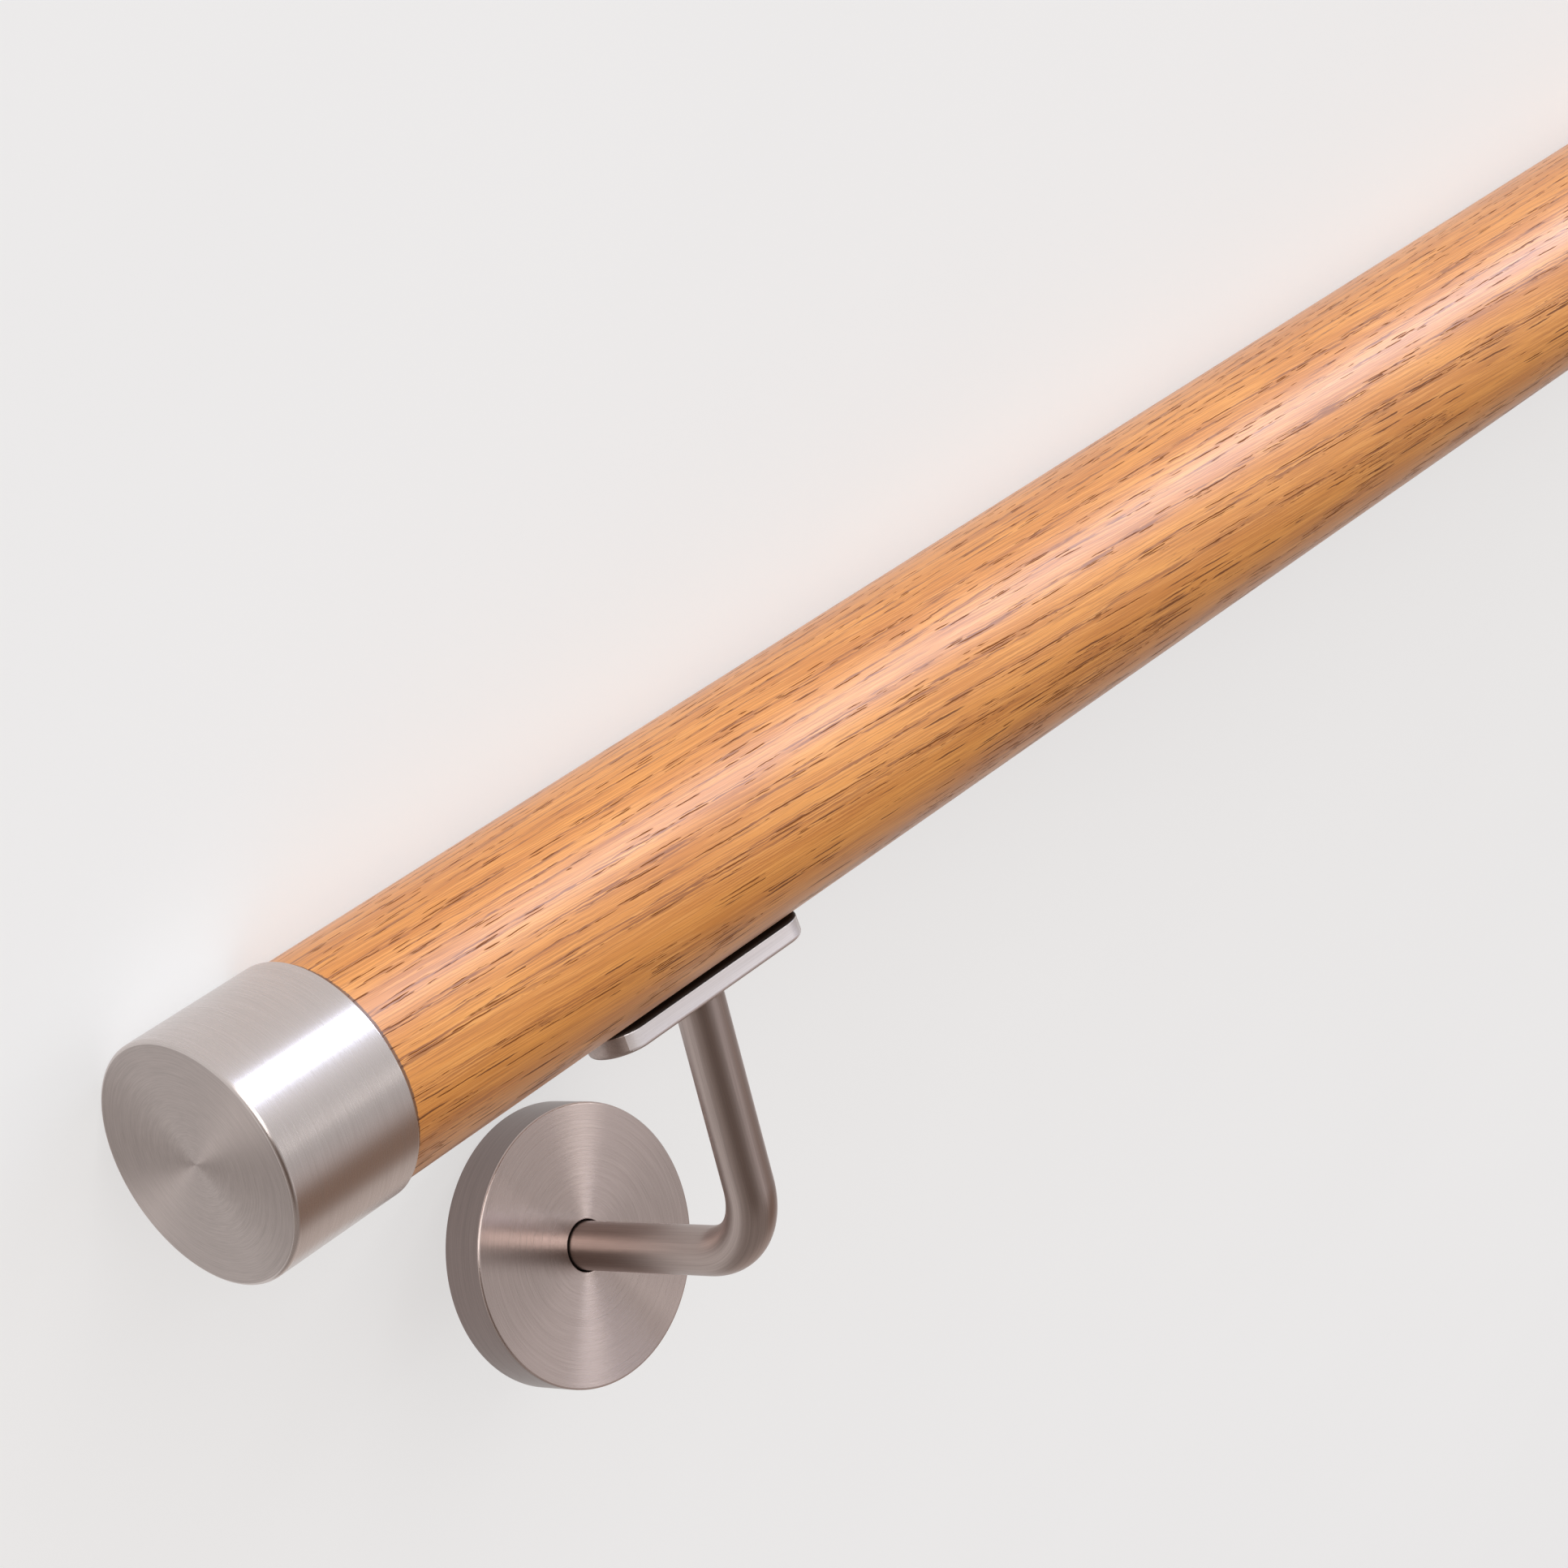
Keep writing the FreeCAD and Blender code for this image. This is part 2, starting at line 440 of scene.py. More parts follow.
def oak_rail():
    """Round rail, finely divided, hidden at both ends by the caps."""
    vertices = []
    for ring in range(RAIL_RINGS + 1):
        x = -RAIL_HALF + 2 * RAIL_HALF * ring / RAIL_RINGS
        for spot in range(TURNS):
            angle = math.tau * spot / TURNS
            vertices.append((x, RAIL_RADIUS * math.cos(angle), RAIL_RADIUS * math.sin(angle)))
    faces = bar_faces(even_rings(RAIL_RINGS + 1, TURNS))
    return mesh_object("oak_rail_skin", vertices, faces, Matrix.Translation(RAIL_AXIS))


def end_cap(name, outward):
    """Turned cap: flat face, rounded edge, thin sleeve."""
    mouth = -CAP_END - CAP_SLEEVE
    corners = [(0, 0), (CAP_RADIUS, 0), (CAP_RADIUS, mouth),
               (CAP_BORE, mouth), (CAP_BORE, -CAP_END), (0, -CAP_END)]
    outline = rounded(corners, [0, CAP_EDGE, CAP_MOUTH_EDGE, CAP_MOUTH_EDGE, HIDDEN_EDGE, 0])
    flat = outline[1].x
    outline[1:1] = [Vector((flat * (ring / FACE_RINGS) ** 2, 0)) for ring in range(1, FACE_RINGS)]
    face = RAIL_AXIS + ALONG_RAIL * (outward * (RAIL_HALF + CAP_END))
    return lathe(name, outline, Matrix.Translation(face) @ aimed(ALONG_RAIL * outward))


def rosette(name, axes):
    """Pressed cover with a crisp bevel round its face and a hole for the rod."""
    inside = ROSETTE_HEIGHT - ROSETTE_WALL
    skirt = ROSETTE_RADIUS - ROSETTE_WALL
    corners = [(ROD_HOLE, ROSETTE_HEIGHT), (ROSETTE_RADIUS, ROSETTE_HEIGHT), (ROSETTE_RADIUS, 0),
               (skirt, 0), (skirt, inside), (ROD_HOLE, inside)]
    radii = [HOLE_EDGE, ROSETTE_EDGE, HIDDEN_EDGE, HIDDEN_EDGE, HIDDEN_EDGE, HIDDEN_EDGE]
    return lathe(name, rounded(corners, radii), axes)


def rod_path():
    """Middle line of the rod in its bracket's axes: places and directions."""
    knee = Vector((0, 0, ROD_KNEE))
    head = Vector((0, -SADDLE_BOTTOM, RAIL_REACH))
    leg = (head - knee).normalized()
    turn = OUT_OF_WALL.angle(leg)
    start = knee - OUT_OF_WALL * (ROD_BEND * math.tan(turn / 2))
    centre = start + UP_WALL * ROD_BEND
    path = [(Vector((0, 0, FLANGE_FRONT)), OUT_OF_WALL), (start, OUT_OF_WALL)]
    for step in range(1, BEND_STEPS + 1):
        spun = Matrix.Rotation(turn * step / BEND_STEPS, 3, "X")
        path.append((centre + spun @ (start - centre), spun @ OUT_OF_WALL))
    path.append((head, leg))
    return path


def slid_to_saddle(point, along):
    """The point moved along the rod's leg to the saddle's underside."""
    return point - along * ((point.y + SADDLE_BOTTOM) / along.y)


def support_rod(name, axes):
    """Bent rod, cut off along the saddle's underside."""
    vertices, brush, lay = [], [], []
    path = rod_path()
    travelled = 0
    before = path[0][0]
    for index, (place, along) in enumerate(path):
        travelled += (place - before).length
        before = place
        up = along.cross(ALONG_RAIL)
        at_saddle = index == len(path) - 1
        for spot in range(ROD_TURNS):
            angle = math.tau * spot / ROD_TURNS
            point = place + (ALONG_RAIL * math.cos(angle) + up * math.sin(angle)) * ROD_RADIUS
            vertices.append(slid_to_saddle(point, along) if at_saddle else point)
            brush.append((ROD_RADIUS * math.cos(angle), ROD_RADIUS * math.sin(angle), travelled))
            lay.append(along)
    piece = mesh_object(name, vertices, bar_faces(even_rings(len(path), ROD_TURNS)), axes)
    set_brushing(piece, axes, brush, lay)
    piece.data.set_sharp_from_angle(angle=SHARP_ANGLE)
    return piece


def stadium(inset):
    """Outline of the saddle seen along the wall, drawn in by inset: x along the rail, z out of the wall."""
    radius = SADDLE_WIDTH / 2 - inset
    run = SADDLE_LENGTH / 2 - SADDLE_WIDTH / 2
    points = []
    for side in (1, -1):
        for step in range(SADDLE_END_STEPS + 1):
            angle = math.pi * step / SADDLE_END_STEPS - math.pi / 2
            points.append((side * (run + radius * math.cos(angle)), side * radius * math.sin(angle)))
    return points


def saddle_section():
    """Side of the saddle: how far out from its middle line, and how far up from the rosette's middle."""
    half = SADDLE_WIDTH / 2
    corners = [(0, SADDLE_BOTTOM), (half, SADDLE_BOTTOM), (half, SADDLE_TOP), (0, SADDLE_TOP)]
    section = rounded(corners, [0, SADDLE_BOTTOM_EDGE, SADDLE_TOP_EDGE, 0])
    return section[1:-1]


def loop_edges(build, ring):
    """Edges of a closed ring of points, made where they are missing."""
    pairs = [(ring[spot - 1], ring[spot]) for spot in range(len(ring))]
    return [build.edges.get(pair) or build.edges.new(pair) for pair in pairs]


def screw_recess(build, x):
    """Blind round recess up into the saddle's underside; gives back its mouth."""
    radius = SCREW_HEAD + SCREW_CLEARANCE
    rings = []
    for level in (SADDLE_BOTTOM, SADDLE_BOTTOM + SCREW_HEAD_HEIGHT):
        ring = []
        for spot in range(SCREW_TURNS):
            angle = math.tau * spot / SCREW_TURNS
            place = (x + radius * math.cos(angle), -level, RAIL_REACH + radius * math.sin(angle))
            ring.append(build.verts.new(place))
        rings.append(ring)
    mouth, floor = rings
    for spot in range(SCREW_TURNS):
        build.faces.new((mouth[spot - 1], mouth[spot], floor[spot], floor[spot - 1]))
    build.faces.new(floor)
    return mouth


def saddle_shell(build):
    """Closed shell of the saddle: rounded edges, flat top, and an underside with a recess for each screw."""
    rings = []
    for reach, level in saddle_section():
        outline = stadium(SADDLE_WIDTH / 2 - reach)
        rings.append([build.verts.new((x, -level, RAIL_REACH + z)) for x, z in outline])
    for one, two in zip(rings, rings[1:]):
        for spot in range(len(one)):
            build.faces.new((one[spot - 1], two[spot - 1], two[spot], one[spot]))
    build.faces.new(list(reversed(rings[-1])))
    mouths = [screw_recess(build, x) for x in SCREW_PLACES.values()]
    edges = [edge for ring in [rings[0]] + mouths for edge in loop_edges(build, ring)]
    bmesh.ops.triangle_fill(build, use_beauty=True, edges=edges)
    bmesh.ops.recalc_face_normals(build, faces=build.faces)


def saddle_plate(name, axes):
    """Flat bar with round ends, brushed along the rail."""
    piece = mesh_object(name, [], [], axes)
    build = bmesh.new()
    saddle_shell(build)
    build.to_mesh(piece.data)
    build.free()
    piece.data.shade_smooth()
    places = [vertex.co.copy() for vertex in piece.data.vertices]
    piece.data.transform(axes)
    brush = [(place.z - RAIL_REACH, -place.y, place.x) for place in places]
    set_brushing(piece, axes, brush, [ALONG_RAIL] * len(places))
    piece.data.set_sharp_from_angle(angle=SHARP_ANGLE)
    return piece


def saddle_screw(name, axes, x):
    """Flat head with a six-lobed socket, sunk just under the saddle's underside, and its shank."""
    corners = [(0, SOCKET_DEPTH), (SOCKET_RADIUS, SOCKET_DEPTH), (SOCKET_RADIUS, SCREW_SINK),
               (SCREW_HEAD, SCREW_SINK), (SCREW_HEAD, SCREW_HEAD_HEIGHT),
               (SCREW_SHANK, SCREW_HEAD_HEIGHT), (SCREW_SHANK, SCREW_LENGTH), (0, SCREW_LENGTH)]
    outline = rounded(corners, [0, 0, 0, SCREW_EDGE, 0, 0, 0, 0])
    on_socket = [abs(radius - SOCKET_RADIUS) < SMALLEST for radius, height in outline]
    waves = [SOCKET_LOBE_SHARE if lobed else 0 for lobed in on_socket]
    seat = axes @ Matrix.Translation((x, -SADDLE_BOTTOM, RAIL_REACH)) @ aimed(UP_WALL)
    piece = lathe(name, outline, seat, turns=SCREW_TURNS, waves=waves)
    piece.data.set_sharp_from_angle(angle=SCREW_SHARP_ANGLE)
    return piece


def weld_ripple(angle):
    """Thickness of the weld at an angle round the rod, as a share of its size."""
    fine = WELD_RIPPLE_SHARE * math.sin(WELD_RIPPLES * angle)
    slow = WELD_WAVE_SHARE * math.sin(WELD_WAVES * angle + WELD_WAVE_START)
    return 1 + fine + slow


def weld_bead(name, axes):
    """Small rippled bead of weld round the rod, where it meets the saddle's underside."""
    head, along = rod_path()[-1]
    up = along.cross(ALONG_RAIL)
    vertices, lay = [], []
    for spot in range(WELD_TURNS):
        angle = math.tau * spot / WELD_TURNS
        out = ALONG_RAIL * math.cos(angle) + up * math.sin(angle)
        size = WELD_SIZE * weld_ripple(angle) / 2
        for step in range(WELD_STEPS):
            lean = math.tau * step / WELD_STEPS
            place = slid_to_saddle(head + out * (ROD_RADIUS + size * math.cos(lean)), along)
            vertices.append(place - along * (size * (WELD_SINK - math.sin(lean))))
            lay.append(out.cross(along))
    rings = even_rings(WELD_TURNS, WELD_STEPS)
    piece = mesh_object(name, vertices, skin_faces(rings + rings[:1]), axes)
    set_brushing(piece, axes, vertices, lay)
    return piece


# Node helpers


def new_material(name):
    """Material with an empty tree apart from its shader and output."""
    material = bpy.data.materials.new(name)
    material.use_nodes = True
    tree = material.node_tree
    return material, tree, tree.nodes["Principled BSDF"]


def feed(tree, socket, value):
    """Link a socket to another node's output, or set its constant."""
    if isinstance(value, bpy.types.NodeSocket):
        tree.links.new(value, socket)
    else:
        socket.default_value = value


def feed_all(tree, node, inputs):
    """Set or link a node's inputs by name or number."""
    for key, value in inputs.items():
        feed(tree, node.inputs[key], value)


def add(tree, kind, inputs=None, **settings):
    """Add a node, set its options, and set or link its inputs."""
    made = tree.nodes.new(kind)
    for key, value in settings.items():
        setattr(made, key, value)
    feed_all(tree, made, inputs or {})
    return made


def calc(tree, operation, *values):
    """Math node on numbers or sockets."""
    return add(tree, "ShaderNodeMath", dict(enumerate(values)), operation=operation).outputs[0]


def times(tree, one, two):
    """Product of two numbers."""
    return calc(tree, "MULTIPLY", one, two)


def vector(tree, operation, *values):
    """Vector math node's vector output."""
    return add(tree, "ShaderNodeVectorMath", dict(enumerate(values)), operation=operation).outputs["Vector"]


def measure(tree, operation, *values):
    """Vector math node's number output."""
    return add(tree, "ShaderNodeVectorMath", dict(enumerate(values)), operation=operation).outputs["Value"]


def split(tree, value):
    """X, Y and Z of a vector."""
    return add(tree, "ShaderNodeSeparateXYZ", {"Vector": value}).outputs


def join(tree, x, y, z=0.0):
    """Vector from three numbers."""
    return add(tree, "ShaderNodeCombineXYZ", {"X": x, "Y": y, "Z": z}).outputs["Vector"]


def smooth(tree, value, low, high, to_low=0.0, to_high=1.0):
    """Smooth step of a number from one range to another."""
    inputs = {"Value": value, "From Min": low, "From Max": high, "To Min": to_low, "To Max": to_high}
    return add(tree, "ShaderNodeMapRange", inputs, interpolation_type="SMOOTHSTEP").outputs["Result"]


def blend(tree, amount, one, two):
    """Mix of two colours: inputs 6 and 7 and output 2 are the mix node's colours."""
    inputs = {"Factor": amount, 6: one, 7: two}
    return add(tree, "ShaderNodeMix", inputs, data_type="RGBA").outputs[2]


def noise(tree, coords, size, detail=2.0, roughness=0.5, output="Fac", **settings):
    """Noise with bumps of a size; its Fac output is a number, and its Color output is three."""
    scaled = vector(tree, "DIVIDE", coords, size)
    inputs = {"Vector": scaled, "Scale": 1.0, "Detail": detail, "Roughness": roughness}
    return add(tree, "ShaderNodeTexNoise", inputs, **settings).outputs[output]


def bump(tree, height, relief):
    """Normal of a surface with a height; relief is its strength and its depth."""
    strength, depth = relief
    inputs = {"Height": height, "Strength": strength, "Distance": depth}
    return add(tree, "ShaderNodeBump", inputs).outputs["Normal"]


def dashes(tree, coords, spacing, half, chance):
    """Scattered spindle-shaped marks: 1 inside a mark, 0 outside.

    spacing is the mean distance between marks and half their half lengths, both in millimetres, and
    chance is the share of the marks that show.
    """
    scaled = vector(tree, "DIVIDE", coords, spacing)
    cells = add(tree, "ShaderNodeTexVoronoi", {"Vector": scaled, "Scale": 1.0, "Randomness": 1.0})
    offset = vector(tree, "SUBTRACT", scaled, cells.outputs["Position"])
    stretch = tuple(gap / size for gap, size in zip(spacing, half))
    away = measure(tree, "LENGTH", vector(tree, "MULTIPLY", offset, stretch))
    luck = add(tree, "ShaderNodeSeparateColor", {"Color": cells.outputs["Color"]}).outputs
    shown = calc(tree, "LESS_THAN", luck["Red"], chance)
    size = smooth(tree, luck["Green"], *MARK_SIZE)
    inside = smooth(tree, calc(tree, "DIVIDE", away, size), *MARK_EDGE)
    return times(tree, inside, shown)


# Oak


def rail_spot(tree):
    """Place from the middle of the rail, in millimetres."""
    place = add(tree, "ShaderNodeTexCoord").outputs["Object"]
    inputs = {0: vector(tree, "SUBTRACT", place, tuple(RAIL_AXIS)), "Scale": 1 / MM}
    return add(tree, "ShaderNodeVectorMath", inputs, operation="SCALE").outputs["Vector"]


def wander(tree, spot, size, detail, reach):
    """Uneven shift across the rail."""
    drift = noise(tree, spot, size, detail, output="Color")
    centred = vector(tree, "SUBTRACT", drift, NOISE_MIDDLE)
    return vector(tree, "MULTIPLY", centred, (0.0, reach, reach))


def grain_shift(tree, spot):
    """How far the grain wanders and runs slightly across the rail."""
    sway = wander(tree, spot, SWAY_SIZE, SWAY_DETAIL, SWAY_REACH)
    slope = vector(tree, "MULTIPLY", split(tree, spot)["X"], GRAIN_SLOPE)
    jitter = wander(tree, spot, JITTER_SIZE, JITTER_DETAIL, JITTER_REACH)
    return vector(tree, "ADD", vector(tree, "ADD", sway, slope), jitter)


def unrolled(tree, spot, shift):
    """Place on the rail's skin laid flat, with the grain's shift: x along the rail, y round it."""
    front = measure(tree, "DOT_PRODUCT", spot, RAIL_FRONT)
    side = measure(tree, "DOT_PRODUCT", spot, RAIL_SIDE)
    round_rail = times(tree, calc(tree, "ARCTAN2", side, front), RAIL_RADIUS / MM)
    shifted = calc(tree, "ADD", round_rail, measure(tree, "DOT_PRODUCT", shift, RAIL_SIDE))
    return join(tree, split(tree, spot)["X"], shifted)


def early_wood(tree, depth):
    """Share of early wood at a depth from the pith: 1 in each ring's band of pores, 0 in its late wood."""
    scaled = calc(tree, "DIVIDE", depth, RING_UNEVEN_SIZE)
    inputs = {"W": scaled, "Scale": 1.0, "Detail": RING_UNEVEN_DETAIL}
    uneven = add(tree, "ShaderNodeTexNoise", inputs, noise_dimensions="1D").outputs["Fac"]
    years = calc(tree, "ADD", calc(tree, "DIVIDE", depth, RING_WIDTH), times(tree, uneven, RING_UNEVEN))
    season = calc(tree, "FRACT", years)
    return times(tree, smooth(tree, season, *EARLY_START), smooth(tree, season, *EARLY_END))


def flat_sawn(tree, spot, spoke):
    """How squarely the skin cuts the growth rings' spokes: 1 where the rings lie flat in it."""
    outward = vector(tree, "NORMALIZE", vector(tree, "MULTIPLY", spot, ACROSS_RAIL))
    return measure(tree, "DOT_PRODUCT", outward, vector(tree, "NORMALIZE", spoke))


def oak_ground(tree, grain, skin, fibre, early, flat):
    """Colour of the wood between its pores: soft patches, early wood, fine fibre and thin streaks."""
    patches = noise(tree, grain, PATCH_SIZE)
    body = blend(tree, smooth(tree, patches, *PATCHES), OAK_DEEP, OAK_LIGHT)
    body = blend(tree, times(tree, early, EARLY_STRENGTH), body, OAK_EARLY)
    share = smooth(tree, early, *FIBRE_SHARE)
    body = blend(tree, times(tree, smooth(tree, fibre, *DARK_FIBRES), share), body, OAK_FIBRE)
    body = blend(tree, times(tree, smooth(tree, fibre, *PALE_FIBRES), share), body, OAK_PALE)
    streak = noise(tree, skin, STREAK_SIZE, noise_dimensions="2D")
    crowd = times(tree, smooth(tree, early, *STREAKS_IN_EARLY), smooth(tree, flat, *STREAKS_IN_FLAT))
    return blend(tree, times(tree, smooth(tree, streak, *STREAKS), crowd), body, OAK_STREAK)


def painted_seam_shade(tree, spot):
    """Share of painted shade in the seam at each cap's mouth, with a ragged edge."""
    mouth = (RAIL_HALF - CAP_SLEEVE) / MM
    away = calc(tree, "SUBTRACT", mouth, calc(tree, "ABSOLUTE", split(tree, spot)["X"]))
    ragged = times(tree, noise(tree, spot, SEAM_SHADE_SIZE), SEAM_SHADE_RAGGED)
    return smooth(tree, calc(tree, "SUBTRACT", away, ragged), *SEAM_SHADE_EDGE)


def lacquer(tree, shader, fibre, open_grain):
    """Satin coat that follows the fibre and is lost where the grain is open."""
    height = calc(tree, "SUBTRACT", times(tree, fibre, FIBRE_DEPTH), open_grain)
    feed_all(tree, shader, {
        "Roughness": smooth(tree, open_grain, *OAK_ROUGHNESS),
        "Normal": bump(tree, height, OAK_RELIEF),
        "Specular IOR Level": OAK_SPECULAR,
        "Coat Weight": smooth(tree, open_grain, *COAT_WEIGHT),
        "Coat Roughness": COAT_ROUGHNESS,
        "Coat IOR": COAT_IOR})


def oak():
    """Lacquered oak: growth rings about a pith off the rail's axis, pore bands, rays and fine fibre."""
    material, tree, shader = new_material("lacquered_oak")
    spot = rail_spot(tree)
    shift = grain_shift(tree, spot)
    grain = vector(tree, "ADD", spot, shift)
    skin = unrolled(tree, spot, shift)

    # Place in the trunk: along it, round its pith and away from its pith
    spoke = vector(tree, "MULTIPLY", vector(tree, "SUBTRACT", grain, PITH), ACROSS_RAIL)
    depth = measure(tree, "LENGTH", spoke)
    across = split(tree, spoke)
    turn = calc(tree, "ARCTAN2", across["Z"], across["Y"])
    trunk = join(tree, split(tree, grain)["X"], times(tree, turn, PITH_AWAY), depth)

    # Pores crowd in the early wood; rays are thin spindles that point at the pith
    early = early_wood(tree, depth)
    flat = flat_sawn(tree, spot, spoke)
    pores = dashes(tree, grain, PORE_SPACING, PORE_HALF, smooth(tree, early, *PORE_CHANCE))
    rays = dashes(tree, trunk, RAY_SPACING, RAY_HALF, smooth(tree, flat, *RAY_CHANCE))
    fibre = noise(tree, skin, FIBRE_SIZE, noise_dimensions="2D")

    body = oak_ground(tree, grain, skin, fibre, early, flat)
    body = blend(tree, times(tree, rays, RAY_STRENGTH), body, OAK_RAY)
    body = blend(tree, times(tree, pores, PORE_STRENGTH), body, OAK_PORE)
    # Painted shade in the gap at each cap's mouth
    body = blend(tree, painted_seam_shade(tree, spot), body, OAK_SEAM_SHADE)
    feed(tree, shader.inputs["Base Color"], body)
    lacquer(tree, shader, fibre, calc(tree, "MAXIMUM", pores, times(tree, rays, RAY_DEPTH)))
    return material


# Steel


def turned_lines(width, run=4.0):
    """Size of the brushed lines round a turned piece, from millimetres."""
    return (width * MM, run * MM, run * MM)


def brushed_steel(name, tone, lines, roughness, anisotropy):
    """Satin stainless steel with fine lines that follow each piece's own brushing."""
    material, tree, shader = new_material(name)
    brush = add(tree, "ShaderNodeAttribute", attribute_name="brush").outputs["Vector"]
    lay = add(tree, "ShaderNodeAttribute", attribute_name="lay").outputs["Vector"]
    fine = noise(tree, brush, lines, LINE_DETAIL, LINE_ROUGHNESS)
    broad = noise(tree, brush, tuple(BAND_WIDENING * size for size in lines))
    scuff = calc(tree, "ADD", times(tree, fine, LINE_SHARE), times(tree, broad, BAND_SHARE))
    smoothest, roughest = roughness
    feed_all(tree, shader, {
        "Base Color": blend(tree, smooth(tree, scuff, *NOISE_RANGE), *tone),
        "Metallic": 1.0,
        "Roughness": smooth(tree, scuff, *NOISE_RANGE, roughest, smoothest),
        "Anisotropic": anisotropy,
        "Anisotropic Rotation": QUARTER_TURN,
        "Tangent": lay,
        "Normal": bump(tree, fine, LINE_RELIEF)})
    return material


def plain_steel():
    """Mill-finished steel of the hidden flange and the screws, slightly mottled."""
    material, tree, shader = new_material("plain_stainless_look")
    place = add(tree, "ShaderNodeTexCoord").outputs["Object"]
    inputs = {"Vector": place, "Scale": MOTTLE_SCALE, "Detail": MOTTLE_DETAIL}
    mottle = add(tree, "ShaderNodeTexNoise", inputs).outputs["Fac"]
    feed_all(tree, shader, {
        "Base Color": blend(tree, smooth(tree, mottle, *NOISE_RANGE), *GREY_STEEL),
        "Metallic": 1.0,
        "Roughness": smooth(tree, mottle, *NOISE_RANGE, *MOTTLE_ROUGHNESS),
        "Normal": bump(tree, mottle, MOTTLE_RELIEF)})
    return material


# Build


oak_look = oak()
cap_steel = brushed_steel(
    "cap_steel", PALE_STEEL, turned_lines(0.09), roughness=(0.25, 0.32), anisotropy=0.65)
cap_face_steel = brushed_steel(
    "cap_face_steel", MID_STEEL, turned_lines(0.07, run=2.5), roughness=(0.44, 0.5), anisotropy=0.85)
rosette_steel = brushed_steel(
    "rosette_steel", FACE_STEEL, turned_lines(0.08), roughness=(0.24, 0.28), anisotropy=1.0)
# Painted shade on the rosettes' rims
rim_painted_shade = brushed_steel(
    "rim_painted_shade", RIM_SHADE_STEEL, turned_lines(0.1), roughness=(0.28, 0.34), anisotropy=0.6)
rod_steel = brushed_steel(
    "rod_steel", GREY_STEEL, STRAIGHT_LINES, roughness=(0.34, 0.4), anisotropy=0.3)
saddle_steel = brushed_steel(
    "saddle_steel", GREY_STEEL, STRAIGHT_LINES, roughness=(0.4, 0.46), anisotropy=0.6)
# Painted highlight on the saddle's near edge
saddle_edge_painted_highlight = brushed_steel(
    "saddle_edge_painted_highlight", PAINTED_HIGHLIGHT_STEEL, STRAIGHT_LINES, roughness=(0.36, 0.42), anisotropy=0.6)
# Painted shade on the saddle's top under the rail
saddle_top_painted_shade = brushed_steel(
    "saddle_top_painted_shade", GAP_SHADE_STEEL, STRAIGHT_LINES, roughness=(0.5, 0.6), anisotropy=0.3)
plain_look = plain_steel()


def add_cap(bracket, outward):
    """End cap beside a bracket, with its own brushing on the face."""
    cap = end_cap(bracket + "_cap_skin", outward)
    finish_piece(cap, "brushed_stainless", cap_steel, bracket + "_end_cap")
    face_look(cap, lambda face: face.normal.x * outward > CAP_FACE_FACING, cap_face_steel)


def add_rosette(bracket, axes, out):
    """Rosette whose rim takes a darker copy of its steel, painted shade, and the look of the flange inside
    it.
    """
    cover = rosette(bracket + "_rosette_skin", axes)
    finish_piece(cover, "brushed_stainless", rosette_steel, bracket + "_rosette")
    # Rim takes the darker steel, painted shade
    face_look(cover, lambda face: face.normal.dot(out) < ROSETTE_FACE_FACING, rim_painted_shade)
    flange = frame["nodes"][bracket + "_wall_flange"]
    flange.data.materials.clear()
    flange.data.materials.append(plain_look)


def add_saddle(bracket, axes, out):
    """Saddle with a painted highlight on its near edge and painted shade on its top under the rail."""
    saddle = saddle_plate(bracket + "_saddle_skin", axes)
    finish_piece(saddle, "brushed_stainless", saddle_steel, bracket + "_saddle_plate")
    up = axes.to_3x3() @ UP_WALL
    # Near edge takes the brighter steel, a painted highlight
    face_look(saddle, lambda face: face.normal.dot(out) > SADDLE_EDGE_FACING, saddle_edge_painted_highlight)
    # Top under the rail takes near-black steel, painted shade of the gap
    face_look(saddle, lambda face: face.normal.dot(up) > SADDLE_TOP_FACING, saddle_top_painted_shade)


def add_bracket(bracket, axes):
    """Rosette, rod, saddle, weld and screws of one bracket."""
    out = axes.to_3x3() @ OUT_OF_WALL
    add_rosette(bracket, axes, out)
    rod = support_rod(bracket + "_rod_skin", axes)
    finish_piece(rod, "brushed_stainless", rod_steel, bracket + "_support_rod")
    add_saddle(bracket, axes, out)
    bead = weld_bead(bracket + "_weld_bead", axes)
    finish_piece(bead, "brushed_stainless", rod_steel)
    for letter, x in SCREW_PLACES.items():
        screw = saddle_screw(bracket + "_screw_skin_" + letter, axes, x)
        finish_piece(screw, "plain_stainless", plain_look, bracket + "_saddle_screw_" + letter)


finish_piece(oak_rail(), "oak", oak_look, "oak_rail")
for bracket, axes in BRACKETS.items():
    add_cap(bracket, outward=1 if bracket == "lower" else -1)
    add_bracket(bracket, axes)


# Stage


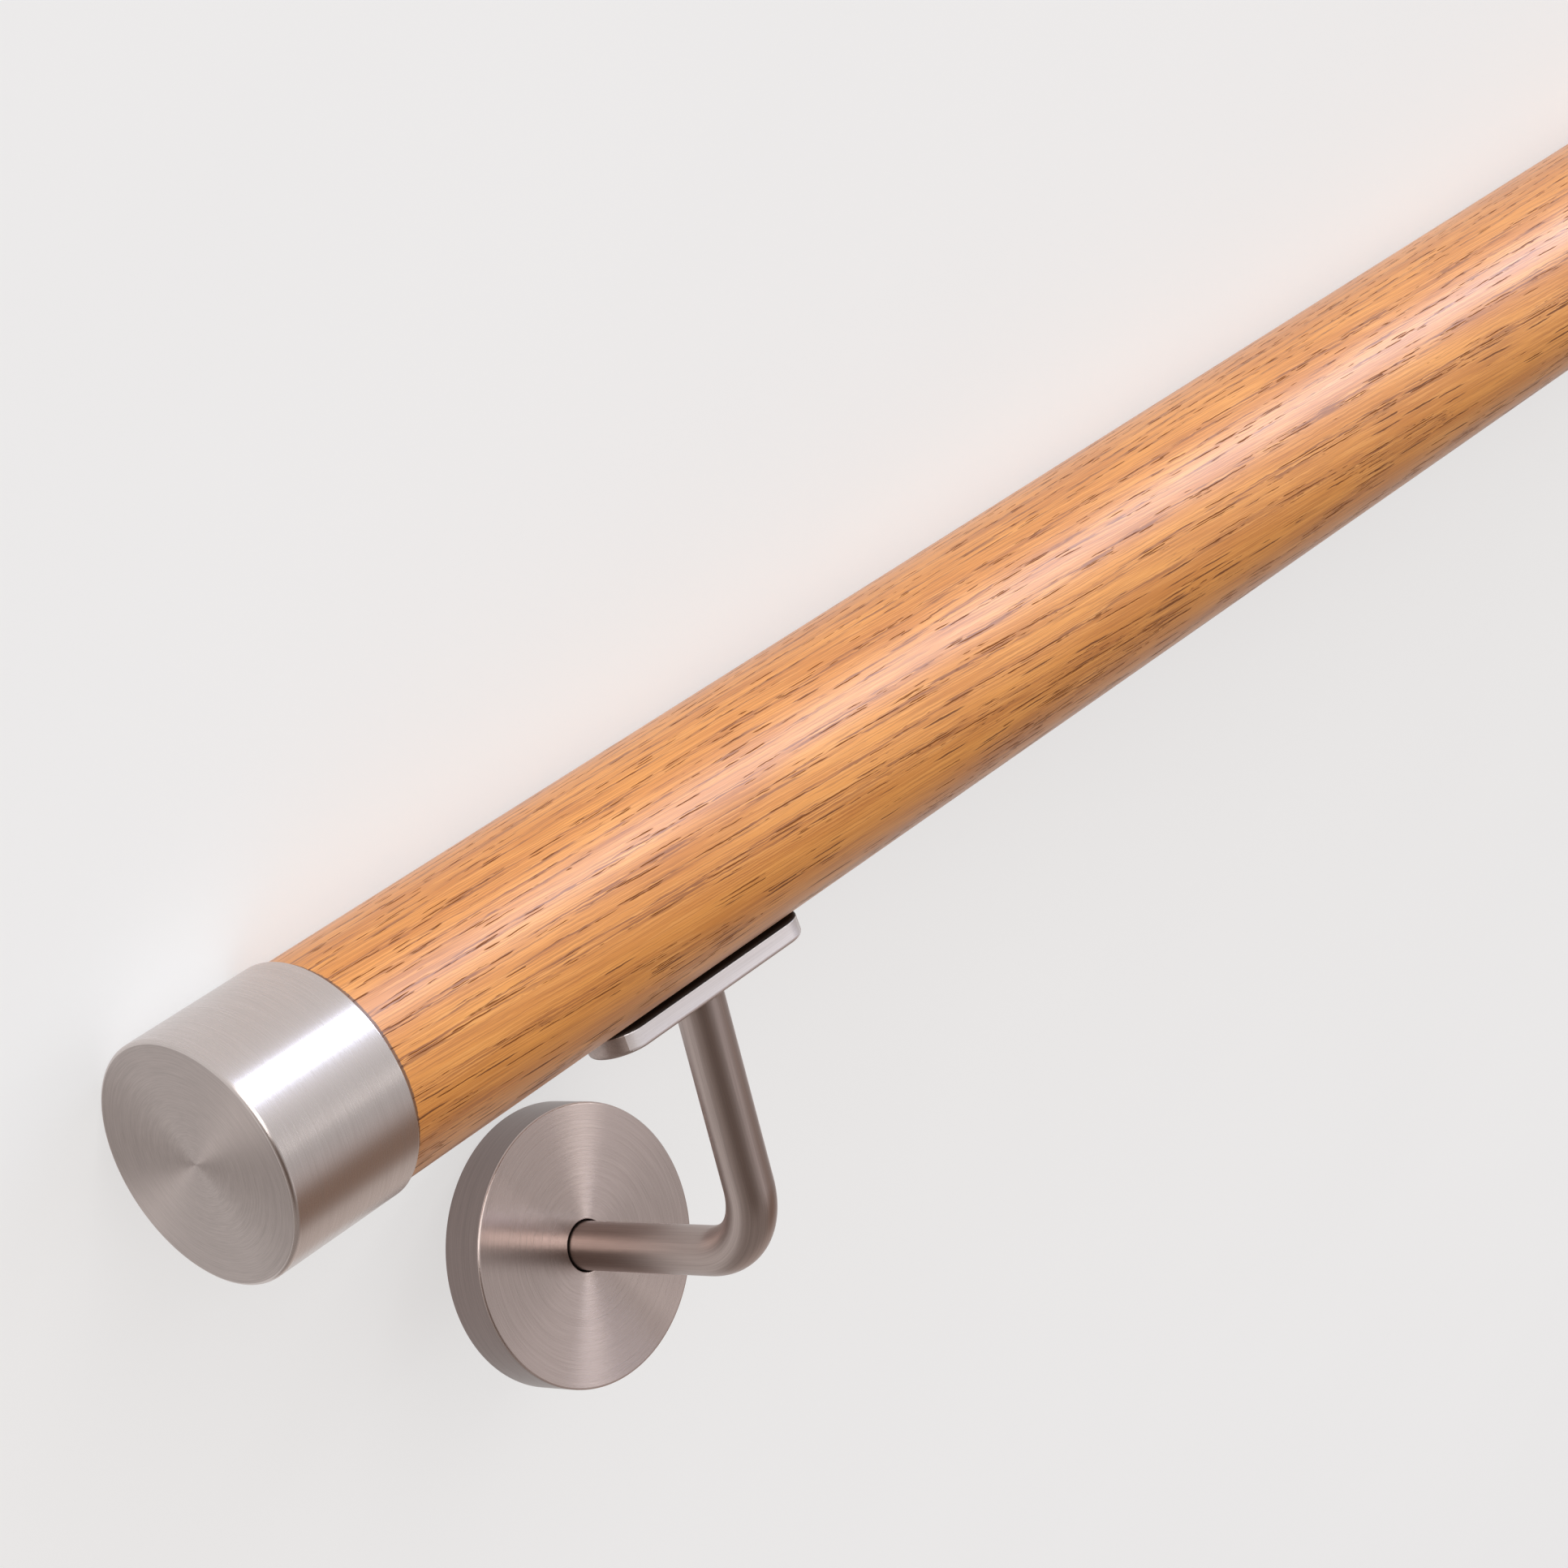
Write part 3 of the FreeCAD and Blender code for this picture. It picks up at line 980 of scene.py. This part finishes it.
def floor_material():
    """Plain pale floor, faintly uneven, which keeps the shadow on it."""
    material, tree, shader = new_material("pale_floor")
    place = add(tree, "ShaderNodeTexCoord").outputs["Object"]
    inputs = {"Vector": place, "Scale": FLOOR_SCALE, "Detail": FLOOR_DETAIL}
    uneven = add(tree, "ShaderNodeTexNoise", inputs).outputs["Fac"]
    feed_all(tree, shader, {
        "Base Color": blend(tree, smooth(tree, uneven, *NOISE_RANGE), *FLOOR_TONES),
        "Roughness": FLOOR_ROUGHNESS,
        "Specular IOR Level": FLOOR_SPECULAR})
    path = add(tree, "ShaderNodeLightPath").outputs
    seen = calc(tree, "MAXIMUM", path["Is Camera Ray"], path["Is Glossy Ray"])
    seen = calc(tree, "MAXIMUM", seen, path["Is Transmission Ray"])
    white = add(tree, "ShaderNodeEmission", {"Color": WHITE, "Strength": 1.0}).outputs["Emission"]
    lifted = {0: times(tree, seen, FLOOR_LIFT), 1: shader.outputs["BSDF"], 2: white}
    mixed = add(tree, "ShaderNodeMixShader", lifted).outputs["Shader"]
    tree.links.new(mixed, tree.nodes["Material Output"].inputs["Surface"])
    return material


def stage_floor():
    """Wide round floor under the part."""
    angles = [math.tau * corner / FLOOR_CORNERS for corner in range(FLOOR_CORNERS)]
    corners = [(FLOOR_REACH * math.cos(angle), FLOOR_REACH * math.sin(angle), 0) for angle in angles]
    mesh = bpy.data.meshes.new("stage_floor")
    mesh.from_pydata(corners, [], [tuple(range(FLOOR_CORNERS))])
    floor = bpy.data.objects.new("stage_floor", mesh)
    bpy.context.scene.collection.objects.link(floor)
    floor.data.materials.append(floor_material())


def softbox(name, target, direction, away, size, power, tint=LAMP_TINT):
    """Rectangular lamp that faces a target from a direction in the frame; size is upright, then across."""
    lamp = bpy.data.lights.new(name, "AREA")
    lamp.shape = "RECTANGLE"
    lamp.size, lamp.size_y = size
    lamp.energy = power
    lamp.color = tint
    holder = bpy.data.objects.new(name, lamp)
    back = Vector(direction).normalized()
    holder.location = target + back * away
    holder.rotation_mode = "QUATERNION"
    holder.rotation_quaternion = back.to_track_quat("Z", "X")
    holder.visible_camera = False
    bpy.context.scene.collection.objects.link(holder)


def lamps():
    """Long cool key light, wide fill light, and a small light on the lower bracket."""
    middle = RAIL_AXIS + LIT_PLACE
    softbox("key_light", middle, direction=(-0.69, -0.72, 0.088), away=9.0,
            size=(1.55, 9.8), power=497.0, tint=COOL_TINT)
    softbox("fill_light", middle, direction=(0.35, -0.87, 0.34), away=9.0,
            size=(6.0, 9.0), power=515.0)
    softbox("accent_light", BRACKETS["lower"].translation, direction=(-0.694, -0.361, 0.6225), away=2.2,
            size=(0.5, 0.25), power=0.9)


def world_light():
    """Soft room with a pale window side and dim patches, which give the metal its bands."""
    world = bpy.data.worlds.new("studio")
    bpy.context.scene.world = world
    world.use_nodes = True
    tree = world.node_tree
    way = add(tree, "ShaderNodeTexCoord").outputs["Generated"]
    shade = ROOM_LIGHT
    for direction, core, edge, tint in ROOM_PATCHES:
        facing = measure(tree, "DOT_PRODUCT", way, Vector(direction).normalized())
        near = smooth(tree, facing, math.cos(math.radians(edge)), math.cos(math.radians(core)))
        shade = blend(tree, near, shade, tint)
    feed_all(tree, tree.nodes["Background"], {"Color": shade, "Strength": 1.0})


def from_photo(value):
    """Turn a vector of the photograph's camera into the frame."""
    return BRACKETS["lower"].to_3x3() @ Vector((-value.x, -value.y, value.z))


def photo_camera():
    """Camera at the photograph's place, with its long lens."""
    data = bpy.data.cameras.new("photo_camera")
    data.lens = CAMERA_LENS
    data.sensor_width = SENSOR_WIDTH
    data.clip_start = CLIP_START
    camera = bpy.data.objects.new("photo_camera", data)
    back = -from_photo(CAMERA_FORWARD).normalized()
    up = -from_photo(CAMERA_DOWN).normalized()
    side = up.cross(back).normalized()
    up = back.cross(side)
    place = BRACKETS["lower"].translation + from_photo(CAMERA_PLACE)
    camera.matrix_world = Matrix.Translation(place) @ Matrix((side, up, back)).transposed().to_4x4()
    bpy.context.scene.collection.objects.link(camera)
    bpy.context.scene.camera = camera


stage_floor()
world_light()
lamps()
photo_camera()

bpy.context.scene.view_settings.view_transform = "Standard"
